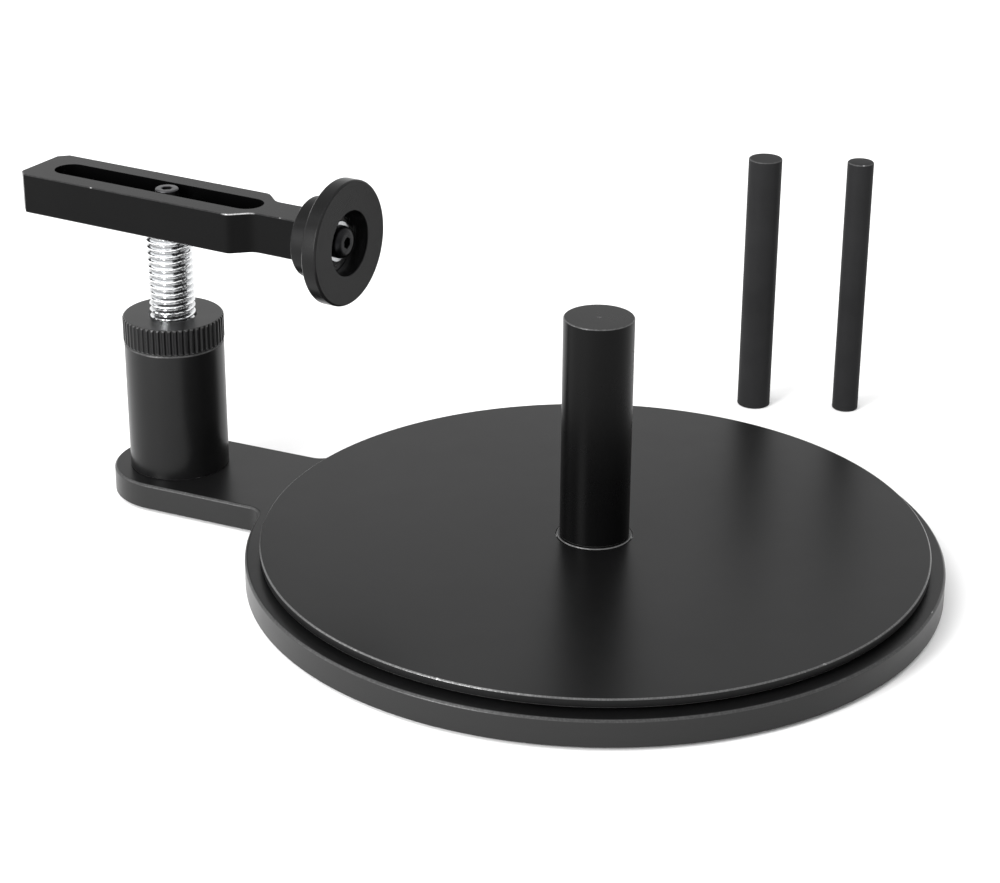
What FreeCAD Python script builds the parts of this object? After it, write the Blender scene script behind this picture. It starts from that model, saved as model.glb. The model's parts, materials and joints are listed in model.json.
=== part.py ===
"""Spool holder stand: a round base with a lug, a turntable on a ball bearing, a fixed spindle,
and a column whose threaded stud carries a slotted arm with a flanged guide wheel.

Frame: origin on the table under the spindle's axis, +Z up, -X towards the column. Millimetres.
"""
import FreeCAD, Part
import math
import os
import re
import Sketcher

VEC = FreeCAD.Vector
UP = VEC(0, 0, 1)

# Driving dimensions: every one becomes an aliased cell of the sheet.
SIZES = {
    # gaps between pieces
    "face_gap": 0.05,
    "turn_gap": 0.05,
    "seat_gap": 0.02,
    # base plate and its rubber pads
    "foot_rise": 1.0,
    "base_radius": 100.0,
    "base_thick": 8.0,
    "base_edge": 0.6,
    "base_foot_edge": 0.2,
    "lug_half": 20.0,
    "lug_fillet": 6.0,
    "column_reach": 138.3,
    "pad_radius": 5.0,
    "pad_sink": 1.0,
    "pad_circle": 84.0,
    # recess in the base under the turntable
    "recess_radius": 18.0,
    "recess_depth": 3.6,
    "boss_radius": 8.3,
    "seat_sink": 1.5,
    # turntable disc
    "disc_radius": 95.75,
    "disc_thick": 2.8,
    "disc_lift": 1.0,
    "disc_edge": 0.4,
    "disc_hole": 11.0,
    "disc_lip": 1.0,
    "hub_radius": 16.0,
    "hub_drop": 3.6,
    # main bearing, 15 x 24 x 5
    "main_bore": 7.5,
    "main_outside": 12.0,
    "main_width": 5.0,
    "main_ball": 1.19,
    "main_ball_count": 17,
    "main_land_in": 9.1,
    "main_land_out": 10.4,
    # spindle
    "post_radius": 10.0,
    "post_length": 66.25,
    "post_edge": 0.3,
    "dimple_radius": 0.6,
    "dimple_depth": 0.6,
    "flange_radius": 10.8,
    "flange_thick": 1.2,
    "flange_relief": 0.2,
    "flange_edge": 0.25,
    "tap_depth": 12.0,
    # spare spindles, stood on the table behind the base
    "medium_radius": 5.4,
    "small_radius": 4.25,
    "spare_length": 85.5,
    "spare_edge": 0.3,
    "medium_x": -0.4,
    "medium_y": 139.7,
    "small_x": 28.4,
    "small_y": 149.4,
    # column, lock ring and stud
    "column_radius": 15.0,
    "column_height": 40.4,
    "column_edge": 0.5,
    "ring_radius": 15.2,
    "ring_height": 8.1,
    "ring_edge": 0.5,
    "flute_radius": 0.55,
    "flute_depth": 0.5,
    "flute_count": 54,
    "stud_radius": 6.85,
    "stud_length": 48.0,
    "stud_edge": 0.8,
    "stud_bare": 27.4,
    # guide arm
    "arm_swing": -4.8,
    "arm_height": 12.0,
    "arm_half": 11.15,
    "arm_tail": 47.5,
    "arm_corner": 2.8,
    "arm_shoulder": 29.2,
    "shoulder_run": 5.6,
    "shoulder_round": 3.0,
    "neck_half": 6.1,
    "neck_fillet": 4.5,
    "neck_end": 50.0,
    "arm_edge": 0.3,
    "slot_half": 5.0,
    "slot_tail": 35.4,
    "slot_nose": 28.6,
    "slot_depth": 5.75,
    "slot_narrow": 2.25,
    # clamp at the stud: M4 cap screw, spring washer and flat washer
    "clamp_shank": 2.0,
    "clamp_head": 3.5,
    "clamp_head_tall": 4.0,
    "clamp_length": 16.0,
    "clamp_washer": 4.5,
    "clamp_washer_thick": 0.8,
    "spring_washer_thick": 0.8,
    "spring_washer_split": 0.9,
    # guide wheel
    "wheel_rear": 51.0,
    "wheel_hub": 11.8,
    "wheel_hub_long": 8.1,
    "wheel_flange": 18.3,
    "wheel_flange_thick": 4.8,
    "wheel_edge": 0.45,
    "wheel_web": 1.5,
    "wheel_bore_edge": 0.15,
    "wheel_web_hole": 8.0,
    # wheel bearing, 5 x 19 x 6, and its axle
    "axle_bore": 2.5,
    "axle_outside": 9.5,
    "axle_width": 6.0,
    "axle_ball": 1.75,
    "axle_ball_count": 7,
    "axle_land_in": 4.9,
    "axle_land_out": 7.6,
    "cage_tall": 2.4,
    "cage_wall": 0.2,
    "shield_thick": 0.24,
    "seal_thick": 0.6,
    "axle_shank": 2.47,
    "axle_head": 4.75,
    "axle_head_tall": 2.75,
    "axle_dome": 2.0,
    "axle_length": 20.0,
    "axle_washer": 6.0,
    "axle_washer_thick": 1.6,
    "axle_spacer": 4.6,
    # countersunk screws: M5 under the spindle, M4 under the column
    "sunk_depth": 0.2,
    "sunk_rim": 0.3,
    "spindle_shank": 2.5,
    "spindle_head": 5.0,
    "spindle_length": 20.0,
    "column_shank": 2.0,
    "column_head": 4.0,
    "column_length": 16.0,
    "column_circle": 10.3,
    # hexagon sockets, half the width across flats
    "socket_three": 1.5,
    "sunk_socket": 0.7,
    "button_socket": 0.6,
    "cap_socket": 0.5,
    "socket_two": 1.25,
}

COLUMN_SCREWS = 3
DISC_FEET = 4
COSINE_30 = math.cos(math.radians(30))
DRILL_SLOPE = math.tan(math.radians(31))
NEAR = 1e-4

doc = FreeCAD.newDocument("SpoolHolderStand")
sheet = doc.addObject("Spreadsheet::Sheet", "Sizes")
for row, (alias, value) in enumerate(SIZES.items(), start=1):
    sheet.set("A%d" % row, alias)
    sheet.set("B%d" % row, str(value))
    sheet.setAlias("B%d" % row, alias)
doc.recompute()

ALIASES = re.compile(r"\b(%s)\b" % "|".join(sorted(SIZES, key=len, reverse=True)))
sub_parts = []

# Heights above the table, as expressions over the sheet's cells.
BASE_TOP = "(foot_rise + base_thick)"
DISC_BOTTOM = "(%s + disc_lift)" % BASE_TOP
DISC_TOP = "(%s + disc_thick)" % DISC_BOTTOM
BEARING_TOP = "(%s - disc_lip)" % DISC_TOP
BEARING_BOTTOM = "(%s - main_width)" % BEARING_TOP
BEARING_MIDDLE = "(%s - main_width / 2)" % BEARING_TOP
POST_BOTTOM = "(%s + flange_thick)" % BEARING_TOP
COLUMN_TOP = "(%s + column_height)" % BASE_TOP
RING_TOP = "(%s + face_gap + ring_height)" % COLUMN_TOP
ARM_BOTTOM = "(%s + stud_bare)" % RING_TOP
ARM_TOP = "(%s + arm_height)" % ARM_BOTTOM
# Distances along the arm from the stud's axis.
AXLE_REAR = "(wheel_rear + wheel_web)"
AXLE_FRONT = "(%s + axle_width)" % AXLE_REAR
AXLE_MIDDLE = "(%s + axle_width / 2)" % AXLE_REAR


def bound(formula):
    """A formula over cell names, written the way setExpression wants it."""
    return ALIASES.sub(r"Sizes.\1", formula)


def number(formula):
    """The present value of a formula over cell names."""
    return float(sheet.evalExpression(bound(formula)))


def keep(piece, label, placement=FreeCAD.Placement()):
    """Names a finished sub-part, puts it in place and lists it for writing."""
    piece.Label = label
    piece.Placement = placement
    sub_parts.append(piece)
    return piece


def spot(x="0", y="0", z="0"):
    """A placement at a point given by formulas."""
    return FreeCAD.Placement(VEC(number(x), number(y), number(z)), FreeCAD.Rotation())


def new_body(name):
    return doc.addObject("PartDesign::Body", name)


def new_sketch(body, name, plane="XY_Plane", at=("0", "0", "0")):
    """A sketch on one of the body's origin planes, moved by formulas along its own axes."""
    sketch = body.newObject("Sketcher::SketchObject", name)
    for feature in body.Origin.OriginFeatures:
        if feature.Role == plane:
            sketch.AttachmentSupport = [(feature, "")]
    sketch.MapMode = "FlatFace"
    for axis, formula in zip("xyz", at):
        if formula != "0":
            sketch.setExpression("AttachmentOffset.Base." + axis, bound(formula))
    return sketch


def pin_point(sketch, geometry, point, x, y):
    """Fixes a sketch point at formulas x, y from the sketch's origin."""
    for kind, axis, formula in (("DistanceX", -2, x), ("DistanceY", -1, y)):
        value = number(formula)
        if abs(value) < 1e-9:
            sketch.addConstraint(Sketcher.Constraint("PointOnObject", geometry, point, axis))
            continue
        ends = (-1, 1, geometry, point) if value > 0 else (geometry, point, -1, 1)
        index = sketch.addConstraint(Sketcher.Constraint(kind, *ends, abs(value)))
        signed = formula if value > 0 else "-(%s)" % formula
        sketch.setExpression("Constraints[%d]" % index, bound(signed))


def draw_outline(sketch, points):
    """A closed outline of straight lines through points given by formulas."""
    places = [VEC(number(x), number(y), 0) for x, y in points]
    count = len(points)
    for i in range(count):
        sketch.addGeometry(Part.LineSegment(places[i], places[(i + 1) % count]), False)
    for i in range(count):
        sketch.addConstraint(Sketcher.Constraint("Coincident", i, 2, (i + 1) % count, 1))
    for i, (x, y) in enumerate(points):
        pin_point(sketch, i, 1, x, y)
    return sketch


def draw_circle(sketch, radius, x="0", y="0"):
    """A circle whose centre and radius are formulas."""
    circle = Part.Circle(VEC(number(x), number(y), 0), UP, number(radius))
    index = sketch.addGeometry(circle, False)
    pin_point(sketch, index, 3, x, y)
    mark = sketch.addConstraint(Sketcher.Constraint("Radius", index, number(radius)))
    sketch.setExpression("Constraints[%d]" % mark, bound(radius))
    return sketch


def draw_stadium(sketch, left, right, half):
    """A slot outline along the sketch's x axis, from arc centre left to arc centre right."""
    a, b, r = number(left), number(right), number(half)
    right_arc = Part.ArcOfCircle(Part.Circle(VEC(b, 0, 0), UP, r), -math.pi / 2, math.pi / 2)
    left_arc = Part.ArcOfCircle(Part.Circle(VEC(a, 0, 0), UP, r), math.pi / 2, 3 * math.pi / 2)
    sketch.addGeometry(right_arc, False)
    sketch.addGeometry(Part.LineSegment(VEC(b, r, 0), VEC(a, r, 0)), False)
    sketch.addGeometry(left_arc, False)
    sketch.addGeometry(Part.LineSegment(VEC(a, -r, 0), VEC(b, -r, 0)), False)
    for i in range(4):
        sketch.addConstraint(Sketcher.Constraint("Tangent", i, 2, (i + 1) % 4, 1))
    pin_point(sketch, 0, 3, right, "0")
    pin_point(sketch, 2, 3, left, "0")
    mark = sketch.addConstraint(Sketcher.Constraint("Radius", 0, r))
    sketch.setExpression("Constraints[%d]" % mark, bound(half))
    return sketch


def draw_hexagon(sketch, half_flats):
    """A regular hexagon about the sketch's origin, its size given half across the flats."""
    corner = number(half_flats) / COSINE_30
    points = [VEC(corner * math.cos(k * math.pi / 3), corner * math.sin(k * math.pi / 3), 0)
              for k in range(6)]
    for k in range(6):
        sketch.addGeometry(Part.LineSegment(points[k], points[(k + 1) % 6]), False)
    ring = sketch.addGeometry(Part.Circle(VEC(), UP, corner), True)
    sketch.addConstraint(Sketcher.Constraint("Coincident", ring, 3, -1, 1))
    for k in range(6):
        sketch.addConstraint(Sketcher.Constraint("Coincident", k, 2, (k + 1) % 6, 1))
        sketch.addConstraint(Sketcher.Constraint("PointOnObject", k, 1, ring))
    for k in range(1, 6):
        sketch.addConstraint(Sketcher.Constraint("Equal", 0, k))
    sketch.addConstraint(Sketcher.Constraint("PointOnObject", 0, 1, -1))
    mark = sketch.addConstraint(Sketcher.Constraint("Radius", ring, corner))
    sketch.setExpression("Constraints[%d]" % mark, bound("(%s) / cos(30)" % half_flats))
    return sketch


def solid_of(body):
    doc.recompute()
    return body.Shape.Volume


def pad(body, sketch, length):
    feature = body.newObject("PartDesign::Pad", sketch.Name + "Pad")
    feature.Profile = sketch
    feature.setExpression("Length", bound(length))
    doc.recompute()
    return feature


def pocket(body, sketch, depth=None, upward=False):
    """Cuts a sketch into the body, down from it or up, to a depth or right through."""
    before = solid_of(body)
    feature = body.newObject("PartDesign::Pocket", sketch.Name + "Pocket")
    feature.Profile = sketch
    feature.Reversed = upward
    if depth is None:
        feature.Type = "ThroughAll"
    else:
        feature.setExpression("Length", bound(depth))
    if not solid_of(body) < before - 1e-6:
        raise RuntimeError("the pocket %s cut nothing" % feature.Name)
    return feature


def turn(body, sketch, cut=False, axis="V_Axis"):
    """Revolves a sketch about one of its axes, adding or cutting."""
    before = solid_of(body) if cut else 0.0
    kind = "PartDesign::Groove" if cut else "PartDesign::Revolution"
    feature = body.newObject(kind, sketch.Name + "Turn")
    feature.Profile = sketch
    feature.ReferenceAxis = (sketch, [axis])
    feature.Angle = 360
    after = solid_of(body)
    if cut and not after < before - 1e-6:
        raise RuntimeError("the groove %s cut nothing" % feature.Name)
    return feature


def dress(body, kind, size, wanted):
    """A fillet or chamfer on the edges of the body's last feature that a test picks."""
    doc.recompute()
    base = body.Tip
    names = ["Edge%d" % (i + 1) for i, edge in enumerate(base.Shape.Edges) if wanted(edge)]
    if not names:
        raise RuntimeError("no edge was picked on " + body.Name)
    feature = body.newObject("PartDesign::" + kind, base.Name + kind)
    feature.Base = (base, names)
    feature.setExpression("Radius" if kind == "Fillet" else "Size", bound(size))
    doc.recompute()
    return feature


def is_level(edge):
    return edge.BoundBox.ZLength < NEAR


def level_at(z):
    """Picks the flat edges at a height above the body's origin."""
    def wanted(edge):
        return is_level(edge) and abs(edge.BoundBox.ZMin - z) < NEAR
    return wanted


def upright_at(x):
    """Picks the vertical edges at a distance along the body's x."""
    def wanted(edge):
        vertical = edge.BoundBox.XLength + edge.BoundBox.YLength < NEAR
        return vertical and abs(edge.BoundBox.XMin - x) < NEAR
    return wanted


def pattern(body, feature, count):
    """Repeats a feature evenly round the body's own z axis."""
    ring = body.newObject("PartDesign::PolarPattern", feature.Name + "Ring")
    ring.Originals = [feature]
    for datum in body.Origin.OriginFeatures:
        if datum.Role == "Z_Axis":
            ring.Axis = (datum, [""])
    ring.Angle = 360
    ring.setExpression("Occurrences", bound(count))
    body.Tip = ring
    doc.recompute()
    return ring


def turned(name, points):
    """A body revolved about z from an outline of (radius, height) formulas."""
    body = new_body(name)
    turn(body, draw_outline(new_sketch(body, name + "Outline", "XZ_Plane"), points))
    return body


def chamfered_ring(inner, outer, low, high, edge):
    """The outline of a plain ring with chamfered outer corners."""
    return [(inner, low), ("%s - %s" % (outer, edge), low), (outer, "%s + %s" % (low, edge)),
            (outer, "%s - %s" % (high, edge)), ("%s - %s" % (outer, edge), high), (inner, high)]


def grouped(label, pieces, placement=FreeCAD.Placement()):
    """Several separate solids kept as one sub-part."""
    group = doc.addObject("Part::Compound", label)
    group.Links = pieces
    return keep(group, label, placement)


def primitive(kind, name, placement=FreeCAD.Placement(), **sizes):
    """A Part primitive with its sizes bound to formulas."""
    shape = doc.addObject("Part::" + kind, name)
    for prop, formula in sizes.items():
        shape.setExpression(prop, bound(formula))
    shape.Placement = placement
    return shape


def round_spots(count, radius, start=0.0):
    """Points evenly spaced on a circle, as (x, y) formulas."""
    places = []
    for k in range(count):
        angle = start + 360.0 * k / count
        places.append(("%s * cos(%.4f)" % (radius, angle), "%s * sin(%.4f)" % (radius, angle)))
    return places


def outward(k, count):
    """The k-th of count evenly spaced directions, as a placement whose z points outwards."""
    tip = FreeCAD.Rotation(VEC(0, 1, 0), 90)
    return FreeCAD.Placement(VEC(), FreeCAD.Rotation(UP, 360.0 * k / count).multiply(tip))


def foot_spots():
    """Centres of the rubber pads: four under the round part and one under the column."""
    return round_spots(DISC_FEET, "pad_circle", 45) + [("-column_reach", "0")]


def column_screw_spots():
    return [("%s - column_reach" % x, y) for x, y in round_spots(COLUMN_SCREWS, "column_circle", 60)]


def sunk_hole(shank, head, top):
    """What a countersunk screw's hole takes out of the base plate, up to a height."""
    wide = "(%s + turn_gap + turn_gap)" % head
    slim = "(%s + turn_gap + turn_gap)" % shank
    rim = "(sunk_depth + sunk_rim)"
    return [("0", "0"), (wide, "0"), (wide, rim), (slim, "%s + %s - %s" % (rim, head, shank)),
            (slim, top), ("0", top)]


def base_plate():
    body = new_body("BasePlate")
    pad(body, draw_circle(new_sketch(body, "Round"), "base_radius"), "base_thick")
    pad(body, draw_stadium(new_sketch(body, "Lug"), "-column_reach", "0", "lug_half"), "base_thick")
    crook = math.sqrt(number("base_radius ^ 2 - lug_half ^ 2"))
    dress(body, "Fillet", "lug_fillet", upright_at(-crook))
    dress(body, "Chamfer", "base_edge", level_at(number("base_thick")))
    dress(body, "Chamfer", "base_foot_edge", level_at(0))
    # around the spindle: bearing recess, boss, seat bore and countersunk screw hole
    floor = "(base_thick - recess_depth)"
    boss_top = "(%s - foot_rise)" % BEARING_BOTTOM
    seat_floor = "(%s - seat_sink)" % boss_top
    middle = sunk_hole("spindle_shank", "spindle_head", seat_floor)[:-1]
    middle += [("main_bore", seat_floor), ("main_bore", boss_top), ("boss_radius", boss_top),
               ("boss_radius", floor), ("recess_radius", floor), ("recess_radius", "base_thick"),
               ("0", "base_thick")]
    turn(body, draw_outline(new_sketch(body, "Middle", "XZ_Plane"), middle), cut=True)
    hole = sunk_hole("column_shank", "column_head", "base_thick")
    for k, (x, y) in enumerate(column_screw_spots()):
        sketch = new_sketch(body, "ScrewHole%d" % k, "XZ_Plane", (x, "0", "-(%s)" % y))
        turn(body, draw_outline(sketch, hole), cut=True)
    pads = new_sketch(body, "PadPockets")
    for x, y in foot_spots():
        draw_circle(pads, "pad_radius + turn_gap", x, y)
    pocket(body, pads, "pad_sink", upward=True)
    return keep(body, "base_plate", spot(z="foot_rise"))


def rubber_feet():
    feet = []
    for k, (x, y) in enumerate(foot_spots()):
        outline = chamfered_ring("0", "pad_radius", "0", "(foot_rise + pad_sink)", "sunk_depth")
        foot = turned("Foot%d" % k, outline)
        foot.Placement = spot(x, y)
        feet.append(foot)
    return grouped("rubber_feet", feet)


def countersunk_screw(name, shank, head, length, socket):
    """A countersunk socket screw pointing up, its head's flat face at z 0."""
    body = turned(name, [("0", "0"), (head, "0"), (head, "sunk_rim"),
                         (shank, "sunk_rim + %s - %s" % (head, shank)),
                         (shank, "%s - sunk_rim" % length), ("%s - sunk_rim" % shank, length),
                         ("0", length)])
    sketch = draw_hexagon(new_sketch(body, name + "Socket"), socket)
    pocket(body, sketch, "(%s - %s) * sunk_socket" % (head, shank), upward=True)
    return body


def spindle_screw():
    screw = countersunk_screw("SpindleScrew", "spindle_shank", "spindle_head", "spindle_length",
                              "socket_three")
    return keep(screw, "spindle_screw", spot(z="foot_rise + sunk_depth"))


def column_screws():
    screws = []
    for k, (x, y) in enumerate(column_screw_spots()):
        screw = countersunk_screw("ColumnScrew%d" % k, "column_shank", "column_head",
                                  "column_length", "socket_two")
        screw.Placement = spot(x, y, "foot_rise + sunk_depth")
        screws.append(screw)
    return grouped("column_screws", screws)


def spindle_seat():
    """Flanged steel bush that centres the bearing and clamps its inner ring.

    The flange's underside is relieved outside the inner ring, so that the rest turns freely.
    """
    hole = "(spindle_shank + turn_gap + turn_gap)"
    bush = "(main_bore - seat_gap)"
    low = "(%s - seat_sink)" % BEARING_BOTTOM
    relieved = "(%s + flange_relief)" % BEARING_TOP
    body = turned("SpindleSeat", [
        (hole, low), (bush, low), (bush, BEARING_TOP), ("main_land_in", BEARING_TOP),
        ("main_land_in", relieved), ("flange_radius", relieved),
        ("flange_radius", "%s - flange_edge" % POST_BOTTOM),
        ("flange_radius - flange_edge", POST_BOTTOM), (hole, POST_BOTTOM)])
    return keep(body, "spindle_seat")


def rod_outline(radius, length, edge, tap, dimple=True):
    """A turned rod tapped from below, with a lathe centre in its top."""
    drill = "(%s + turn_gap)" % tap
    points = [("0", "tap_depth + %s * %.4f" % (drill, DRILL_SLOPE)), (drill, "tap_depth"),
              (drill, "0"), ("%s - sunk_rim" % radius, "0"), (radius, "sunk_rim"),
              (radius, "%s - %s" % (length, edge)), ("%s - %s" % (radius, edge), length)]
    if dimple:
        return points + [("dimple_radius", length), ("0", "%s - dimple_depth" % length)]
    return points + [("0", length)]


def spindle_post():
    body = turned("SpindlePost", rod_outline("post_radius", "post_length", "post_edge", "spindle_shank"))
    return keep(body, "spindle_post", spot(z=POST_BOTTOM))


def spare_spindles():
    for label, radius, x, y in (("spare_spindle_medium", "medium_radius", "medium_x", "medium_y"),
                                ("spare_spindle_small", "small_radius", "small_x", "small_y")):
        outline = rod_outline(radius, "spare_length", "spare_edge", "spindle_shank", dimple=False)
        keep(turned(label.title().replace("_", ""), outline), label, spot(x, y))


def ball_bearing(prefix, cell, placement, cover, cover_thick):
    """A deep-groove bearing about z, centred on z 0: rings, balls, cage and two covers."""
    bore, outside = cell + "_bore", cell + "_outside"
    land_in, land_out = cell + "_land_in", cell + "_land_out"
    half = "(%s_width / 2)" % cell
    ball = cell + "_ball"
    pitch = "((%s + %s) / 2)" % (bore, outside)
    track = "(%s + turn_gap)" % ball
    edge = "sunk_depth"
    rings = (("inner", [(bore, "-%s" % half), (land_in, "-%s" % half), (land_in, half),
                        (bore, half)]),
             ("outer", chamfered_ring(land_out, outside, "-%s" % half, half, edge)))
    for side, outline in rings:
        name = prefix + side
        body = turned(name.replace("_", ""), outline)
        groove = draw_circle(new_sketch(body, name.replace("_", "") + "Track", "XZ_Plane"), track, pitch)
        turn(body, groove, cut=True)
        keep(body, "%s_%s_ring" % (prefix, side), placement)
    places = round_spots(int(number(cell + "_ball_count")), pitch)
    balls = [primitive("Sphere", "%sBall%d" % (cell, k), spot(x, y), Radius=ball)
             for k, (x, y) in enumerate(places)]
    grouped(prefix + "_balls", balls, placement)
    cage = doc.addObject("Part::Cut", cell + "Cage")
    band = doc.addObject("Part::Cut", cell + "Band")
    low = spot(z="-%s * cage_tall / 2" % ball)
    tall = "%s * cage_tall" % ball
    band.Base = primitive("Cylinder", cell + "BandOut", low, Height=tall,
                          Radius="%s + %s * cage_wall" % (pitch, ball))
    band.Tool = primitive("Cylinder", cell + "BandIn", low, Height=tall,
                          Radius="%s - %s * cage_wall" % (pitch, ball))
    cage.Base = band
    windows = doc.addObject("Part::Compound", cell + "Windows")
    windows.Links = [primitive("Cylinder", "%sWindow%d" % (cell, k), outward(k, len(places)),
                               Radius=track, Height=outside) for k in range(len(places))]
    cage.Tool = windows
    keep(cage, prefix + "_cage", placement)
    covers = []
    high = "%s - sunk_depth - %s" % (half, cover_thick)
    for side, z in (("Low", "-%s + sunk_depth" % half), ("High", high)):
        rim = chamfered_ring("%s + sunk_depth" % land_in, "%s - seat_gap" % land_out, "0", cover_thick,
                             "seat_gap")
        disc = turned(cell + "Cover" + side, rim)
        disc.Placement = spot(z=z)
        covers.append(disc)
    grouped("%s_%s" % (prefix, cover), covers, placement)


def turntable_disc():
    bore = "(main_outside + seat_gap)"
    low = "(%s - hub_drop)" % DISC_BOTTOM
    body = turned("TurntableDisc", [
        ("disc_hole", BEARING_TOP), ("disc_hole", DISC_TOP), ("disc_radius - disc_edge", DISC_TOP),
        ("disc_radius", "%s - disc_edge" % DISC_TOP), ("disc_radius", "%s + disc_edge" % DISC_BOTTOM),
        ("disc_radius - disc_edge", DISC_BOTTOM), ("hub_radius", DISC_BOTTOM), ("hub_radius", low),
        (bore, low), (bore, BEARING_TOP)])
    return keep(body, "turntable_disc")


def column():
    bore = "(stud_radius + turn_gap)"
    body = turned("Column", [
        (bore, "0"), ("column_radius", "0"), ("column_radius", "column_height - column_edge"),
        ("column_radius - column_edge", "column_height"), ("%s + column_edge" % bore, "column_height"),
        (bore, "column_height - column_edge")])
    holes = new_sketch(body, "ScrewTaps")
    for x, y in round_spots(COLUMN_SCREWS, "column_circle", 60):
        draw_circle(holes, "column_shank + turn_gap", x, y)
    pocket(body, holes, "tap_depth", upward=True)
    return keep(body, "column", spot("-column_reach", z=BASE_TOP))


def lock_ring():
    bore = "(stud_radius + turn_gap)"
    body = turned("LockRing", [
        ("%s + ring_edge" % bore, "0"), ("ring_radius - ring_edge", "0"), ("ring_radius", "ring_edge"),
        ("ring_radius", "ring_height - ring_edge"), ("ring_radius - ring_edge", "ring_height"),
        ("%s + ring_edge" % bore, "ring_height"), (bore, "ring_height - ring_edge"), (bore, "ring_edge")])
    reach = "ring_radius + flute_radius - flute_depth"
    flute = draw_circle(new_sketch(body, "Flute"), "flute_radius", reach)
    pattern(body, pocket(body, flute, upward=True), "flute_count")
    return keep(body, "lock_ring", spot("-column_reach", z="%s + face_gap" % COLUMN_TOP))


def threaded_stud():
    tap = "(clamp_shank + turn_gap)"
    body = turned("ThreadedStud", [
        ("0", "0"), ("stud_radius - stud_edge", "0"), ("stud_radius", "stud_edge"),
        ("stud_radius", "stud_length - stud_edge"), ("stud_radius - stud_edge", "stud_length"),
        (tap, "stud_length"), (tap, "stud_length - tap_depth"), ("0", "stud_length - tap_depth")])
    return keep(body, "threaded_stud",
                spot("-column_reach", z="%s - face_gap - stud_length" % ARM_BOTTOM))


def arm_frame():
    """The arm's frame: at the stud's axis on the arm's underside, x along the arm."""
    turned_by = FreeCAD.Rotation(UP, number("arm_swing"))
    return FreeCAD.Placement(VEC(-number("column_reach"), 0, number(ARM_BOTTOM)), turned_by)


def on_axle(along):
    """A placement on the wheel's axle, z pointing along the arm, at a distance from the stud."""
    seat = FreeCAD.Placement(VEC(number(along), 0, number("arm_height / 2")),
                             FreeCAD.Rotation(VEC(0, 1, 0), 90))
    return arm_frame().multiply(seat)


def guide_arm():
    body = new_body("GuideArm")
    neck = "(arm_shoulder + shoulder_run)"
    upper = [("-arm_tail", "arm_half - arm_corner"), ("arm_corner - arm_tail", "arm_half"),
             ("arm_shoulder", "arm_half"), (neck, "neck_half"), ("neck_end", "neck_half")]
    lower = [(x, "-(%s)" % y) for x, y in reversed(upper)]
    pad(body, draw_outline(new_sketch(body, "ArmOutline"), upper + lower), "arm_height")
    dress(body, "Fillet", "neck_fillet", upright_at(number(neck)))
    dress(body, "Fillet", "shoulder_round", upright_at(number("arm_shoulder")))
    dress(body, "Chamfer", "arm_edge", is_level)
    wide = new_sketch(body, "WideSlot", at=("0", "0", "arm_height"))
    pocket(body, draw_stadium(wide, "-slot_tail", "slot_nose", "slot_half"), "slot_depth")
    narrow = new_sketch(body, "NarrowSlot", at=("0", "0", "arm_height"))
    pocket(body, draw_stadium(narrow, "-slot_tail", "slot_nose", "slot_narrow"))
    tap = new_sketch(body, "AxleTap", "XZ_Plane", ("0", "arm_height / 2", "0"))
    bottom = "(neck_end - tap_depth)"
    draw_outline(tap, [(bottom, "0"), ("neck_end", "0"), ("neck_end", "axle_bore + turn_gap"),
                       (bottom, "axle_bore + turn_gap")])
    turn(body, tap, cut=True, axis="H_Axis")
    return keep(body, "guide_arm", arm_frame())


def cap_screw():
    """The clamp's socket cap screw, in the arm's frame."""
    top = "arm_height"
    under = "(arm_height - clamp_head_tall)"
    tip = "(%s - clamp_length)" % under
    body = turned("ClampScrew", [
        ("0", tip), ("clamp_shank - sunk_rim", tip), ("clamp_shank", "%s + sunk_rim" % tip),
        ("clamp_shank", under), ("clamp_head", under), ("clamp_head", "%s - sunk_rim" % top),
        ("clamp_head - sunk_rim", top), ("0", top)])
    socket = new_sketch(body, "ClampSocket", at=("0", "0", top))
    pocket(body, draw_hexagon(socket, "socket_three"), "clamp_head_tall * cap_socket")
    return keep(body, "clamp_screw", arm_frame())


def clamp_washers():
    """The flat washer on the slot's ledge and the split spring washer under the screw's head."""
    ledge = "(arm_height - slot_depth + face_gap)"
    hole = "(clamp_shank + turn_gap + turn_gap)"
    flat_top = "(%s + clamp_washer_thick)" % ledge
    flat = turned("ClampWasher", chamfered_ring(hole, "clamp_washer", ledge, flat_top, "seat_gap"))
    keep(flat, "clamp_washer", arm_frame())
    low = "(%s + face_gap)" % flat_top
    high = "(%s + spring_washer_thick)" % low
    split = turned("SpringWasher", chamfered_ring(hole, "clamp_head", low, high, "seat_gap"))
    half = "spring_washer_split / 2"
    gap = new_sketch(split, "Split", at=("0", "0", high))
    draw_outline(gap, [("0", "-(%s)" % half), ("clamp_washer", "-(%s)" % half), ("clamp_washer", half),
                       ("0", half)])
    pocket(split, gap)
    return keep(split, "clamp_spring_washer", arm_frame())


def guide_wheel():
    step = "wheel_hub_long"
    front = "(wheel_hub_long + wheel_flange_thick)"
    bore = "(axle_outside + seat_gap)"
    body = turned("GuideWheel", [
        ("wheel_web_hole", "0"), ("wheel_hub - wheel_edge", "0"), ("wheel_hub", "wheel_edge"),
        ("wheel_hub", step), ("wheel_flange - wheel_edge", step),
        ("wheel_flange", "%s + wheel_edge" % step), ("wheel_flange", "%s - wheel_edge" % front),
        ("wheel_flange - wheel_edge", front), ("%s + wheel_bore_edge" % bore, front),
        (bore, "%s - wheel_bore_edge" % front), (bore, "wheel_web"), ("wheel_web_hole", "wheel_web")])
    return keep(body, "guide_wheel", on_axle("wheel_rear"))


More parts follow.
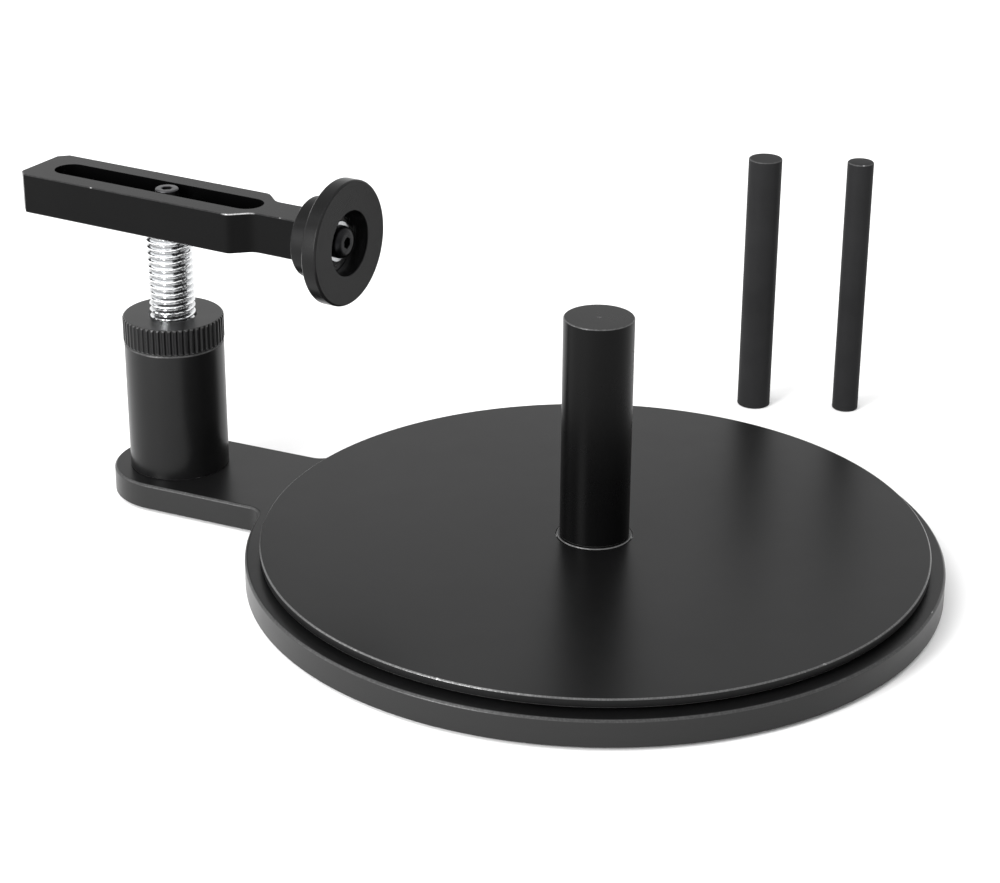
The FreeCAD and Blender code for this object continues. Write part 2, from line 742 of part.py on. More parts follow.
def axle_parts():
    """Button-head axle screw, its washer and the spacer behind the bearing."""
    under = "(%s + face_gap + axle_washer_thick)" % AXLE_FRONT
    screw = turned("AxleScrew", [
        ("0", "-axle_length"), ("axle_shank - sunk_rim", "-axle_length"),
        ("axle_shank", "sunk_rim - axle_length"), ("axle_shank", "0"), ("axle_head", "0"),
        ("axle_head", "axle_head_tall"), ("0", "axle_head_tall")])
    dress(screw, "Fillet", "axle_dome", level_at(number("axle_head_tall")))
    socket = new_sketch(screw, "AxleSocket", at=("0", "0", "axle_head_tall"))
    pocket(screw, draw_hexagon(socket, "socket_three"), "axle_head_tall * button_socket")
    keep(screw, "axle_screw", on_axle(under))
    hole = "(axle_bore + turn_gap + turn_gap)"
    rim = chamfered_ring(hole, "axle_washer", "0", "axle_washer_thick", "sunk_depth")
    washer = turned("AxleWasher", rim)
    keep(washer, "axle_washer", on_axle("%s + face_gap / 2" % AXLE_FRONT))
    long = "(%s - neck_end)" % AXLE_REAR
    spacer = turned("AxleSpacer", chamfered_ring(hole, "axle_spacer", "0", long, "seat_gap"))
    keep(spacer, "axle_spacer", on_axle("neck_end"))


def write_parts():
    """Checks every object, then writes one STEP file per sub-part."""
    doc.recompute()
    for thing in doc.Objects:
        if "Invalid" in thing.State or "Error" in thing.State:
            raise RuntimeError("%s failed: %s" % (thing.Name, thing.State))
    os.makedirs("parts", exist_ok=True)
    for piece in sub_parts:
        if piece.Shape.isNull() or not piece.Shape.isValid():
            raise RuntimeError(piece.Label + " has no valid shape")
        piece.Shape.exportStep("parts/%s.step" % piece.Label)
        box = piece.Shape.BoundBox
        print("%-28s solids %2d  volume %10.2f  z %7.2f to %7.2f" % (
            piece.Label, len(piece.Shape.Solids), piece.Shape.Volume, box.ZMin, box.ZMax))


base_plate()
rubber_feet()
spindle_screw()
spindle_seat()
spindle_post()
spare_spindles()
ball_bearing("main_bearing", "main", spot(z=BEARING_MIDDLE), "shields", "shield_thick")
turntable_disc()
column()
column_screws()
threaded_stud()
lock_ring()
guide_arm()
cap_screw()
clamp_washers()
guide_wheel()
ball_bearing("wheel_bearing", "axle", on_axle(AXLE_MIDDLE), "seals", "seal_thick")
axle_parts()
write_parts()
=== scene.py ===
import bmesh
import bpy
import json
import math
from mathutils import Matrix, Vector


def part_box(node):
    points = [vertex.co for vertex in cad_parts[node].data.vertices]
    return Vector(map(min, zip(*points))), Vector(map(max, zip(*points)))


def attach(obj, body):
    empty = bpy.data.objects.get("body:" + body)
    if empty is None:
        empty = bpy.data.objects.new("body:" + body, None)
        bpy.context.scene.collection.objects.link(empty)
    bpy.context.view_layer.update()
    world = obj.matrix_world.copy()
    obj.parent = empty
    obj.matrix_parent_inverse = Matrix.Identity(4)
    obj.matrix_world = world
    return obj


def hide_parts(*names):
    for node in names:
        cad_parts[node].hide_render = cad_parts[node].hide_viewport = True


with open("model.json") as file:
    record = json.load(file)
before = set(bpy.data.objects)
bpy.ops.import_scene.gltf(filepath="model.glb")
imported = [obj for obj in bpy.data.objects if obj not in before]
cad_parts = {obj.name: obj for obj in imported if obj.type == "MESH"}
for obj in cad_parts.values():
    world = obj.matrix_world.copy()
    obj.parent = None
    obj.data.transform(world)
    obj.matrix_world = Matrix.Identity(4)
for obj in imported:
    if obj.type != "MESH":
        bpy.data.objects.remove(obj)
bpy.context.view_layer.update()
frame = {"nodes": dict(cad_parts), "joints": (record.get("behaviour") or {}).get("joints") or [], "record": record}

MM = 0.001
TURN = 2 * math.pi

# Sizes that the frame does not carry as a box. An EDGE is the width of a broken edge, a STEPS
# the number of points round a circle.

# Base plate.
BASE_EDGE = 0.6
BASE_FOOT_EDGE = 0.2
BASE_STEPS = 320
LUG_HALF = 20.0
LUG_STEPS = 72
LUG_FILLET = 6.0
FILLET_STEPS = 18
RECESS_RADIUS = 18.0
RECESS_FLOOR = 5.4
BOSS_RADIUS = 8.3
BOSS_TOP = 6.8
SEAT_FLOOR = 5.3
MAIN_BORE = 7.5

# Rubber pads below the base.
PAD_RADIUS = 5.0
PAD_TOP = 2.0
PAD_CIRCLE = 84.0
PAD_FOOT_EDGE = 0.25
PAD_TOP_EDGE = 0.2

# Turntable disc and its hub.
DISC_EDGE = 0.4
DISC_UNDER = 10.0
DISC_HOLE = 11.0
DISC_HOLE_EDGE = 0.25
DISC_STEPS = 384
HUB_RADIUS = 16.0
HUB_EDGE = 0.3
BEARING_SEAT = 12.02
BEARING_SEAT_EDGE = 0.1
BEARING_TOP = 11.8

# Spindle post and spare rods.
ROD_EDGE = 0.3
ROD_STEPS = 128
DIMPLE_RADIUS = 0.6
DIMPLE_DEPTH = 0.6
DIMPLE_EDGE = 0.1
TAP_RADIUS = 2.55
TAP_DEPTH = 12.0

# Column, lock ring and threaded stud.
COLUMN_EDGE = 0.5
COLUMN_FOOT_EDGE = 0.2
COLUMN_STEPS = 160
COLUMN_CIRCLE = 10.3
STUD_BORE = 6.9
RING_EDGE = 0.5
FLUTES = 54
FLUTE_RADIUS = 0.55
FLUTE_DEPTH = 0.5
FLUTE_STEPS = 14
THREAD_PITCH = 2.0
THREAD_DEPTH = 1.15
THREAD_ROOT = 0.16  # share of the half pitch that is flat at the bottom
THREAD_FLANK = 0.66  # share of the half pitch that the flank takes
THREAD_SOFT = 0.35  # how far the flank is rounded into an S
THREAD_ROWS = 20
STUD_EDGE = 0.8

# Guide wheel and its axle, along the arm from the stud's axis.
WHEEL_REAR = 51.0
WHEEL_HUB = 11.8
WHEEL_HUB_LONG = 8.1
WHEEL_FLANGE = 18.3
WHEEL_LONG = 12.9
WHEEL_EDGE = 0.45
WHEEL_STEPS = 192
WHEEL_WEB = 1.5
WHEEL_BORE_EDGE = 0.15
WHEEL_WEB_HOLE = 8.0
WHEEL_BORE = 9.52
AXLE_JOINT = 55.5
HEAD_SEAT = 60.15
HEAD_RADIUS = 4.75
HEAD_TALL = 2.75
HEAD_DOME = 2.0
HEAD_EDGE = 0.1
AXLE_SHANK = 2.47
AXLE_LONG = 20.0

# Screws. A TIP is the depth of the cone at a socket's bottom.
CLAMP_HEAD = 3.5
CLAMP_TALL = 4.0
CLAMP_SHANK = 2.0
CLAMP_MOUTH = 1.9
CLAMP_SOCKET_EDGE = 0.12
CLAMP_SOCKET_TIP = 0.5
SCREW_EDGE = 0.3
SCREW_STEPS = 96
SOCKET = 1.5
SOCKET_EDGE = 0.1
AXLE_SOCKET_TIP = 0.4
SUNK_SOCKET_TIP = 0.3
COLUMN_SCREW_HEAD = 4.0
COLUMN_SCREW_SHANK = 2.0
COLUMN_SCREW_SOCKET = 1.25
CENTRE_SCREW_HEAD = 5.0
CENTRE_SCREW_SHANK = 2.5
HOLE_STEPS = 48
SCREW_ROOM = 0.1  # gap between a countersunk screw and its hole
FIT = 0.05  # gap between a pad or a tapped screw and its hole
SINK = 0.2  # how far a countersunk head stands back from the plate's underside
RIM = 0.3  # height of the straight rim of such a head

# Edges.
SOFT = 0.35  # share of a broken edge that is rounded at each of its two borders
ROUND_STEPS = 3
CREASE = 31.0  # degrees; a sharper bend between two faces stays sharp

# The arm's near shoulder, where its edge is scuffed.
ARM_HALF = 11.15
ARM_SHOULDER = 29.2
SHOULDER_RUN = 5.6
SCUFF_INSET = 1.5
SCUFF_REACH = 5.2

# Finishes and studio.
EDGE_GREY = 0.13
BARE_GREY = 0.55
PAPER_GREY = 0.86
MIDDLE = (0.3, 0.7)  # a noise texture's usual range
SKIN_DEEP = 0.00002  # metres; height of a machined surface's grain
FLOOR_HALF = 4000.0
WORLD_GLOW = 1.15

# The camera, in metres, degrees and, for the lens, millimetres.
EYE = (0.24486, -0.60151, 0.32770)
EYE_TURN = 24.55
EYE_DOWN = 23.81
EYE_ROLL = 0.377
LENS = 90.41
SENSOR = 36.0


# ---------------------------------------------------------------- places

def place_of(node):
    """Lowest and highest corner of a CAD node, in millimetres."""
    low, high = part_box(node)
    return low / MM, high / MM


def joint(name):
    """A joint's row in the frame."""
    for row in frame["joints"]:
        if row["name"] == name:
            return row
    raise KeyError(name)


def at(x, y, z=0.0):
    """A move by millimetres."""
    return Matrix.Translation(Vector((x, y, z)) * MM)


BASE_LOW, BASE_HIGH = place_of("base_plate")
BASE_RADIUS = BASE_HIGH.x
COLUMN_REACH = -BASE_LOW.x - LUG_HALF
COLUMN_AT = at(-COLUMN_REACH, 0)
SWING = Vector(joint("arm_slide")["axis"])
AXLE_AT = (Matrix.Translation(Vector(joint("wheel_spin")["pos_m"]))
           @ SWING.to_track_quat("Z", "Y").to_matrix().to_4x4()
           @ at(0, 0, -AXLE_JOINT))
ACROSS = Vector((SWING.y, -SWING.x, 0.0))
SHOULDER = (Vector((-COLUMN_REACH, 0.0, place_of("guide_arm")[1].z))
            + SWING * (ARM_SHOULDER + SHOULDER_RUN / 2) + ACROSS * (ARM_HALF - SCUFF_INSET))


# ---------------------------------------------------------------- outlines

def broken(corners, closed=True):
    """An outline whose marked corners are chamfered, with both borders of each chamfer eased."""
    line = []
    count = len(corners)
    for i, (x, y, edge) in enumerate(corners):
        here = Vector((x, y))
        if not edge or (not closed and i in (0, count - 1)):
            line.append(here)
            continue
        back = (Vector(corners[i - 1][:2]) - here).normalized()
        ahead = (Vector(corners[(i + 1) % count][:2]) - here).normalized()
        first = here + back * edge
        last = here + ahead * edge
        line += eased(first + back * edge * SOFT, first, first.lerp(last, SOFT))
        line += eased(last.lerp(first, SOFT), last, last + ahead * edge * SOFT)
    return line


def eased(start, corner, end):
    """Points of a soft bend from start to end, drawn towards the corner."""
    points = []
    for k in range(ROUND_STEPS + 1):
        t = k / ROUND_STEPS
        points.append(start.lerp(corner, t).lerp(corner.lerp(end, t), t))
    return points


def arc(x, y, radius, start, end, steps):
    """Points round a centre between two angles in degrees, both ends included."""
    points = []
    for k in range(steps + 1):
        angle = math.radians(start + (end - start) * k / steps)
        points.append(Vector((x + radius * math.cos(angle), y + radius * math.sin(angle))))
    return points


def circle(x, y, radius):
    """A closed ring of points for a hole."""
    return arc(x, y, radius, 0, 360, HOLE_STEPS)[:-1]


def hexagon(half_flats):
    """The radius of a hexagon, as a function of the angle."""
    def reach(angle):
        off = (angle + TURN / 12) % (TURN / 6) - TURN / 12
        return half_flats / math.cos(off)
    return reach


# ---------------------------------------------------------------- meshes

class Solid:
    """One closed mesh in the making, in millimetres."""

    def __init__(self):
        self.mesh = bmesh.new()

    def loop(self, points, z):
        """New vertices at one height."""
        return [self.mesh.verts.new((p[0] * MM, p[1] * MM, z * MM)) for p in points]

    def skin(self, a, b):
        """A band of faces between two loops."""
        count = len(a)
        for i in range(count):
            j = (i + 1) % count
            self.mesh.faces.new((a[i], a[j], b[j], b[i]))

    def tip(self, ring, z):
        """A cone from a ring to a point on the axis."""
        top = self.mesh.verts.new((0, 0, z * MM))
        count = len(ring)
        for i in range(count):
            self.mesh.faces.new((ring[i], ring[(i + 1) % count], top))

    def lid(self, *loops):
        """Fills the flat area between one outer loop and any inner ones."""
        edges = []
        for ring in loops:
            for i, vert in enumerate(ring):
                after = ring[(i + 1) % len(ring)]
                edge = self.mesh.edges.get((vert, after))
                edges.append(edge or self.mesh.edges.new((vert, after)))
        bmesh.ops.triangle_fill(self.mesh, use_beauty=True, edges=edges)

    def turned(self, rings, count, closed=True, tops=(None, None)):
        """A skin over rings of (radius, z) about z, where a radius may be a function of the angle.

        A closed one joins its last ring to its first; tops are the heights of its two tips."""
        made = []
        for radius, z in rings:
            points = []
            for k in range(count):
                angle = TURN * k / count
                r = radius(angle) if callable(radius) else radius
                points.append((r * math.cos(angle), r * math.sin(angle)))
            made.append(self.loop(points, z))
        for a, b in zip(made, made[1:]):
            self.skin(a, b)
        if closed:
            self.skin(made[-1], made[0])
        if tops[0] is not None:
            self.tip(made[0], tops[0])
        if tops[1] is not None:
            self.tip(made[-1], tops[1])

    def moved(self, matrix, since):
        """Moves the vertices made since a count was taken."""
        self.mesh.verts.ensure_lookup_table()
        bmesh.ops.transform(self.mesh, matrix=matrix, verts=self.mesh.verts[since:])

    def done(self, name, matrix, body, node, slot):
        """Makes the piece, riding on a body in place of a CAD node, in its slot's finish."""
        bmesh.ops.recalc_face_normals(self.mesh, faces=self.mesh.faces)
        data = bpy.data.meshes.new(name)
        self.mesh.to_mesh(data)
        self.mesh.free()
        data.shade_smooth()
        data.set_sharp_from_angle(angle=math.radians(CREASE))
        data.materials.append(PAINT[slot])
        piece = bpy.data.objects.new(name, data)
        bpy.context.scene.collection.objects.link(piece)
        piece.matrix_world = matrix
        even = piece.modifiers.new("even", "WEIGHTED_NORMAL")
        even.keep_sharp = True
        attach(piece, body)
        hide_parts(node)


def lathe(name, corners, count, matrix, body, node, slot):
    """A ring-shaped piece from a closed outline of (radius, z, edge)."""
    solid = Solid()
    solid.turned(broken(corners), count)
    solid.done(name, matrix, body, node, slot)


# ---------------------------------------------------------------- materials

class Shader:
    """A material's node tree with short ways to add to it."""

    def __init__(self, name):
        self.material = bpy.data.materials.new(name)
        self.material.use_nodes = True
        self.tree = self.material.node_tree
        self.skin = self.tree.nodes["Principled BSDF"]
        coordinates = self.add("ShaderNodeTexCoord")
        self.place = coordinates.outputs["Object"]
        self.facing = coordinates.outputs["Normal"]

    def add(self, kind, **settings):
        """A new node with some of its settings."""
        node = self.tree.nodes.new(kind)
        for key, value in settings.items():
            setattr(node, key, value)
        return node

    def join(self, source, target):
        self.tree.links.new(source, target)

    def noise(self, where, scale, detail=2.0, rough=0.5):
        """A cloudy texture; the scale is in waves per metre."""
        node = self.add("ShaderNodeTexNoise")
        node.inputs["Scale"].default_value = scale
        node.inputs["Detail"].default_value = detail
        node.inputs["Roughness"].default_value = rough
        self.join(where, node.inputs["Vector"])
        return node.outputs["Fac"]

    def spread(self, value, low, high, start=MIDDLE[0], end=MIDDLE[1]):
        """Maps start..end of a value to low..high."""
        node = self.add("ShaderNodeMapRange")
        node.inputs["From Min"].default_value = start
        node.inputs["From Max"].default_value = end
        node.inputs["To Min"].default_value = low
        node.inputs["To Max"].default_value = high
        self.join(value, node.inputs["Value"])
        return node.outputs["Result"]

    def tint(self, value, dark, light):
        """A colour between two, picked by a texture."""
        node = self.add("ShaderNodeValToRGB")
        for stop, where, colour in zip(node.color_ramp.elements, MIDDLE, (dark, light)):
            stop.position = where
            stop.color = (*colour, 1.0)
        self.join(value, node.inputs["Fac"])
        return node.outputs["Color"]

    def lathe_lines(self, scale):
        """Fine rings left by a lathe, round the piece's own z axis."""
        parts = self.add("ShaderNodeSeparateXYZ")
        self.join(self.place, parts.inputs["Vector"])
        where = self.add("ShaderNodeCombineXYZ")
        self.join(self.from_axis(), where.inputs["X"])
        self.join(parts.outputs["Z"], where.inputs["Y"])
        return self.noise(where.outputs["Vector"], scale)

    def both(self, operation, a, b):
        """A value worked out from two others."""
        node = self.add("ShaderNodeMath", operation=operation)
        self.join(a, node.inputs[0])
        self.join(b, node.inputs[1])
        return node.outputs["Value"]

    def near(self, centre, reach):
        """1 round a point of the piece, fading to 0 at a reach from it; both are in millimetres."""
        away = self.add("ShaderNodeVectorMath", operation="DISTANCE")
        away.inputs[1].default_value = Vector(centre) * MM
        self.join(self.place, away.inputs[0])
        return self.spread(away.outputs["Value"], 1.0, 0.0, start=reach * MM * 0.6, end=reach * MM)

    def slope(self):
        """How squarely the surface faces along the piece's z axis: 0 on a wall, 1 on a flat end."""
        parts = self.add("ShaderNodeSeparateXYZ")
        self.join(self.facing, parts.inputs["Vector"])
        size = self.add("ShaderNodeMath", operation="ABSOLUTE")
        self.join(parts.outputs["Z"], size.inputs[0])
        return size.outputs["Value"]

    def broken_edges(self):
        """Where the surface slopes between the piece's flat ends and its walls: the chamfers."""
        slope = self.slope()
        off_wall = self.spread(slope, 0.0, 1.0, start=0.2, end=0.5)
        off_flat = self.spread(slope, 1.0, 0.0, start=0.86, end=0.97)
        patches = self.noise(self.place, 1500.0, detail=4.0, rough=0.7)
        worn = self.spread(patches, 0.5, 1.0, start=0.42, end=0.62)
        return self.both("MULTIPLY", self.both("MULTIPLY", off_wall, off_flat), worn)

    def blend(self, share, plain, other):
        """One colour turning into a constant other by a share."""
        node = self.add("ShaderNodeMix", data_type="RGBA")
        self.join(share, node.inputs[0])
        self.join(plain, node.inputs[6])
        node.inputs[7].default_value = (*other, 1.0)
        return node.outputs[2]

    def from_axis(self):
        """Distance from the piece's own z axis."""
        flat = self.add("ShaderNodeVectorMath", operation="MULTIPLY")
        flat.inputs[1].default_value = (1.0, 1.0, 0.0)
        self.join(self.place, flat.inputs[0])
        reach = self.add("ShaderNodeVectorMath", operation="LENGTH")
        self.join(flat.outputs["Vector"], reach.inputs[0])
        return reach.outputs["Value"]

    def relief(self, height, depth, strength, before=None):
        """A bump on the surface, over an earlier one if there is one."""
        node = self.add("ShaderNodeBump")
        node.inputs["Strength"].default_value = strength
        node.inputs["Distance"].default_value = depth
        self.join(height, node.inputs["Height"])
        if before is not None:
            self.join(before, node.inputs["Normal"])
        return node.outputs["Normal"]

    def set(self, name, value):
        self.skin.inputs[name].default_value = value


def grey(level):
    return (level, level, level)


def anodised(name, rough=0.3, lines=0.0, shade=0.003, wall=None, ior=1.26, wear=1.0, scuff=None):
    """Black anodised aluminium: near-black dye under a satin skin, worn bright on its edges.

    The walls round the piece's z axis may get a lighter colour than its flat faces: painted light, standing in for
    the bright floor they reflect.
    A scuff is a place, in millimetres, where the edge is rubbed down to bare metal."""
    shader = Shader(name)
    cloud = shader.noise(shader.place, 38.0, detail=4.0, rough=0.6)
    dark = (shade * 0.85, shade * 0.85, shade * 0.88)
    light = (shade * 1.2, shade * 1.2, shade * 1.24)
    colour = shader.tint(cloud, dark, light)
    # Painted light: the walls get a lighter grey than the flat faces, standing in for the bright floor they
    # mirror.
    if wall:
        colour = shader.blend(shader.spread(shader.slope(), 1.0, 0.0), colour, grey(wall))
    broken = shader.broken_edges()
    edges = shader.spread(broken, 0.0, wear, start=0.0, end=1.0)
    colour = shader.blend(edges, colour, grey(EDGE_GREY))
    nicks = shader.noise(shader.place, 300.0)
    bare = shader.spread(nicks, 0.0, 0.5, start=0.7, end=0.74)
    if scuff:
        bare = shader.both("MAXIMUM", bare, shader.near(scuff, SCUFF_REACH))
    bare = shader.both("MULTIPLY", bare, broken)
    colour = shader.blend(bare, colour, grey(BARE_GREY))
    shader.join(colour, shader.skin.inputs["Base Color"])
    shader.join(shader.both("MAXIMUM", edges, bare), shader.skin.inputs["Metallic"])
    smudge = shader.noise(shader.place, 90.0, detail=5.0, rough=0.65)
    shader.join(shader.spread(smudge, rough - 0.015, rough + 0.015), shader.skin.inputs["Roughness"])
    grain = shader.noise(shader.place, 2600.0, detail=3.0)
    normal = shader.relief(grain, SKIN_DEEP, 0.2)
    if lines:
        normal = shader.relief(shader.lathe_lines(4200.0), SKIN_DEEP, lines, normal)
    shader.join(normal, shader.skin.inputs["Normal"])
    shader.set("IOR", ior)
    return shader.material


def metal(name, dark, light, rough, grain=0.2, lines=0.0, root_shade_radii=None):
    """Bare or plated metal with fine wear; given a thread's root and crest radii, painted shade darkens the thread
    towards its roots.
    """
    shader = Shader(name)
    worn = shader.noise(shader.place, 260.0, detail=5.0, rough=0.6)
    colour = shader.tint(worn, dark, light)
    if root_shade_radii:
        # Painted shade: the colour darkens from the crest radius down to 45 % at the root radius, standing in for
        # shade between the crests.
        shadow = shader.add("ShaderNodeVectorMath", operation="SCALE")
        shader.join(colour, shadow.inputs[0])
        root, crest = root_shade_radii
        depth = shader.spread(shader.from_axis(), 0.45, 1.0, start=root * MM, end=crest * MM)
        shader.join(depth, shadow.inputs["Scale"])
        colour = shadow.outputs["Vector"]
    shader.join(colour, shader.skin.inputs["Base Color"])
    shader.join(shader.spread(worn, rough * 0.75, rough * 1.25), shader.skin.inputs["Roughness"])
    speckle = shader.noise(shader.place, 900.0, detail=3.0)
    normal = shader.relief(speckle, SKIN_DEEP, grain)
    if lines:
        normal = shader.relief(shader.lathe_lines(3000.0), SKIN_DEEP, lines, normal)
    shader.join(normal, shader.skin.inputs["Normal"])
    shader.set("Metallic", 1.0)
    return shader.material


def rubber(name):
    """Black rubber with dust in its pores."""
    shader = Shader(name)
    dust = shader.noise(shader.place, 300.0, detail=5.0, rough=0.6)
    shader.join(shader.tint(dust, grey(0.012), grey(0.03)), shader.skin.inputs["Base Color"])
    shader.join(shader.spread(dust, 0.65, 0.85), shader.skin.inputs["Roughness"])
    shader.join(shader.relief(shader.noise(shader.place, 1800.0), 0.00003, 0.4),
                shader.skin.inputs["Normal"])
    return shader.material


def pale_floor():
    """White studio paper."""
    shader = Shader("studio_floor")
    paper = shader.noise(shader.place, 3.0, detail=3.0)
    shader.join(shader.tint(paper, grey(PAPER_GREY), grey(PAPER_GREY + 0.03)),
                shader.skin.inputs["Base Color"])
    shader.join(shader.spread(paper, 0.8, 0.9), shader.skin.inputs["Roughness"])
    return shader.material


PAINT = {
    # wall=0.014 paints the base's walls lighter than its top, as painted light from the floor they reflect.
    "base_black": anodised("base_black", shade=0.004, wall=0.014, ior=1.25, wear=0.35),
    "disc_black": anodised("disc_black", lines=0.05, ior=1.23, wear=1.0),
    "spindle_black": anodised("spindle_black", rough=0.28, lines=0.3, shade=0.0015, ior=1.185,
                              wear=0.8),
    # Painted light: the rods share the post's finish but get ten times its colour value, a lit copy standing in
    # for the floor they mirror where the post mirrors the black disc.
    "spare_black": anodised("spare_black", rough=0.42, lines=0.1, shade=0.015, ior=1.09,
                            wear=0.5),
    "column_black": anodised("column_black", lines=0.25, shade=0.003, ior=1.28, wear=0.5),
    "ring_black": anodised("ring_black", lines=0.1, shade=0.005, ior=1.28, wear=0.5),
    "arm_black": anodised("arm_black", rough=0.22, shade=0.001, ior=1.16, wear=0.2,
                          scuff=SHOULDER),
    "wheel_black": anodised("wheel_black", rough=0.25, lines=0.35, shade=0.003, ior=1.22,
                            wear=0.05),
    "screw_black": metal("screw_black", (0.01, 0.01, 0.011), (0.02, 0.02, 0.021), rough=0.35),
    "clamp_black": metal("clamp_black", (0.03, 0.03, 0.032), (0.07, 0.07, 0.073), rough=0.32),
    # The stud's thread gets painted shade in its roots, between radii 5.7 and 6.5 mm.
    "stud_zinc": metal("stud_zinc", (0.7, 0.71, 0.72), (0.88, 0.89, 0.9), rough=0.12,
                       root_shade_radii=(5.7, 6.5)),
    "washer_zinc": metal("washer_zinc", (0.42, 0.43, 0.44), (0.6, 0.61, 0.62), rough=0.25),
    "seat_black": anodised("seat_black", ior=1.3, wear=1.0),
    "seat_steel": metal("seat_steel", (0.3, 0.3, 0.31), (0.5, 0.5, 0.51), rough=0.3, lines=0.2),
    "bearing_steel": metal("bearing_steel", (0.5, 0.5, 0.51), (0.7, 0.7, 0.71), rough=0.22),
    "ball_steel": metal("ball_steel", (0.7, 0.7, 0.71), (0.85, 0.85, 0.86), rough=0.08, grain=0.05),
    "cage_steel": metal("cage_steel", grey(0.4), grey(0.6), rough=0.32),
    "shield_steel": metal("shield_steel", (0.45, 0.45, 0.46), (0.65, 0.65, 0.66), rough=0.3),
    "seal_rubber": rubber("seal_rubber"),
    "foot_rubber": rubber("foot_rubber"),
}


# ---------------------------------------------------------------- pieces

def plate_outline(inset):
    """The base's outline: the round part, two fillets and the lug's round end."""
    corner = LUG_HALF + LUG_FILLET
    reach = math.sqrt((BASE_RADIUS + LUG_FILLET) ** 2 - corner ** 2)
    crook = math.degrees(math.atan2(corner, -reach))
    points = arc(0, 0, BASE_RADIUS - inset, crook, -crook, BASE_STEPS)
    points += arc(-reach, -corner, LUG_FILLET + inset, 180 - crook, 90, FILLET_STEPS)
    points += arc(-COLUMN_REACH, 0, LUG_HALF - inset, -90, -270, LUG_STEPS)
    points += arc(-reach, corner, LUG_FILLET + inset, -90, crook - 180, FILLET_STEPS)
    return points


def sunk(solid, x, y, head, shank, low, high):
    """A countersunk hole's wall from the plate's underside up; returns its two end loops."""
    head += SCREW_ROOM
    shank += SCREW_ROOM
    rings = [(head, low), (head, low + SINK + RIM), (shank, low + SINK + RIM + head - shank),
             (shank, high)]
    loops = []
    for radius, z in rings:
        loops.append(solid.loop(circle(x, y, radius), z))
    for a, b in zip(loops, loops[1:]):
        solid.skin(a, b)
    return loops[0], loops[-1]


def column_screw_places():
    places = []
    for k in range(3):
        angle = math.radians(60 + 120 * k)
        places.append((COLUMN_CIRCLE * math.cos(angle) - COLUMN_REACH,
                       COLUMN_CIRCLE * math.sin(angle)))
    return places


def pad_places():
    places = [(-COLUMN_REACH, 0.0)]
    for k in range(4):
        angle = math.radians(45 + 90 * k)
        places.append((PAD_CIRCLE * math.cos(angle), PAD_CIRCLE * math.sin(angle)))
    return places


def base():
    """The plate: its rim, the holes below, and the stepped seat in the middle of its top."""
    solid = Solid()
    low, high = BASE_LOW.z, BASE_HIGH.z
    rise = broken([(LUG_HALF, low, 0), (0.0, low, BASE_FOOT_EDGE), (0.0, high, BASE_EDGE),
                   (LUG_HALF, high, 0)], closed=False)
    rim = rise[1:-1]
    loops = [solid.loop(plate_outline(p.x), p.y) for p in rim]
    for a, b in zip(loops, loops[1:]):
        solid.skin(a, b)
    under, over = [], []
    for x, y in column_screw_places():
        foot, head = sunk(solid, x, y, COLUMN_SCREW_HEAD, COLUMN_SCREW_SHANK, low, high)
        under.append(foot)
        over.append(head)
    for x, y in pad_places():
        ring = circle(x, y, PAD_RADIUS + FIT)
        mouth = solid.loop(ring, low)
        end = solid.loop(ring, PAD_TOP)
        solid.skin(mouth, end)
        solid.lid(end)
        under.append(mouth)
    foot, last = sunk(solid, 0, 0, CENTRE_SCREW_HEAD, CENTRE_SCREW_SHANK, low, SEAT_FLOOR)
    under.append(foot)
    steps = [(MAIN_BORE, SEAT_FLOOR), (MAIN_BORE, BOSS_TOP), (BOSS_RADIUS, BOSS_TOP),
             (BOSS_RADIUS, RECESS_FLOOR), (RECESS_RADIUS, RECESS_FLOOR), (RECESS_RADIUS, high)]
    for radius, z in steps:
        ring = solid.loop(circle(0, 0, radius), z)
        solid.skin(last, ring)
        last = ring
    solid.lid(loops[0], *under)
    solid.lid(loops[-1], last, *over)
    solid.done("plate", Matrix(), "stand", "base_plate", "base_black")


def pads():
    """Five rubber feet, as one piece."""
    outline = broken([(0, 0, 0), (PAD_RADIUS, 0, PAD_FOOT_EDGE),
                      (PAD_RADIUS, PAD_TOP, PAD_TOP_EDGE), (0, PAD_TOP, 0)])
    solid = Solid()
    for x, y in pad_places():
        since = len(solid.mesh.verts)
        solid.turned(outline[1:-1], HOLE_STEPS, closed=False, tops=(0, PAD_TOP))
        solid.moved(at(x, y), since)
    solid.done("pads", Matrix(), "stand", "rubber_feet", "foot_rubber")


def disc():
    """The turntable: a thin plate, and a hub below it that the main bearing sits in."""
    low, high = place_of("turntable_disc")
    lathe("disc", [
        (DISC_HOLE, BEARING_TOP, 0), (DISC_HOLE, high.z, DISC_HOLE_EDGE),
        (high.x, high.z, DISC_EDGE), (high.x, DISC_UNDER, DISC_EDGE),
        (HUB_RADIUS, DISC_UNDER, 0), (HUB_RADIUS, low.z, HUB_EDGE),
        (BEARING_SEAT, low.z, BEARING_SEAT_EDGE), (BEARING_SEAT, BEARING_TOP, 0),
    ], DISC_STEPS, Matrix(), "turntable", "turntable_disc", "disc_black")


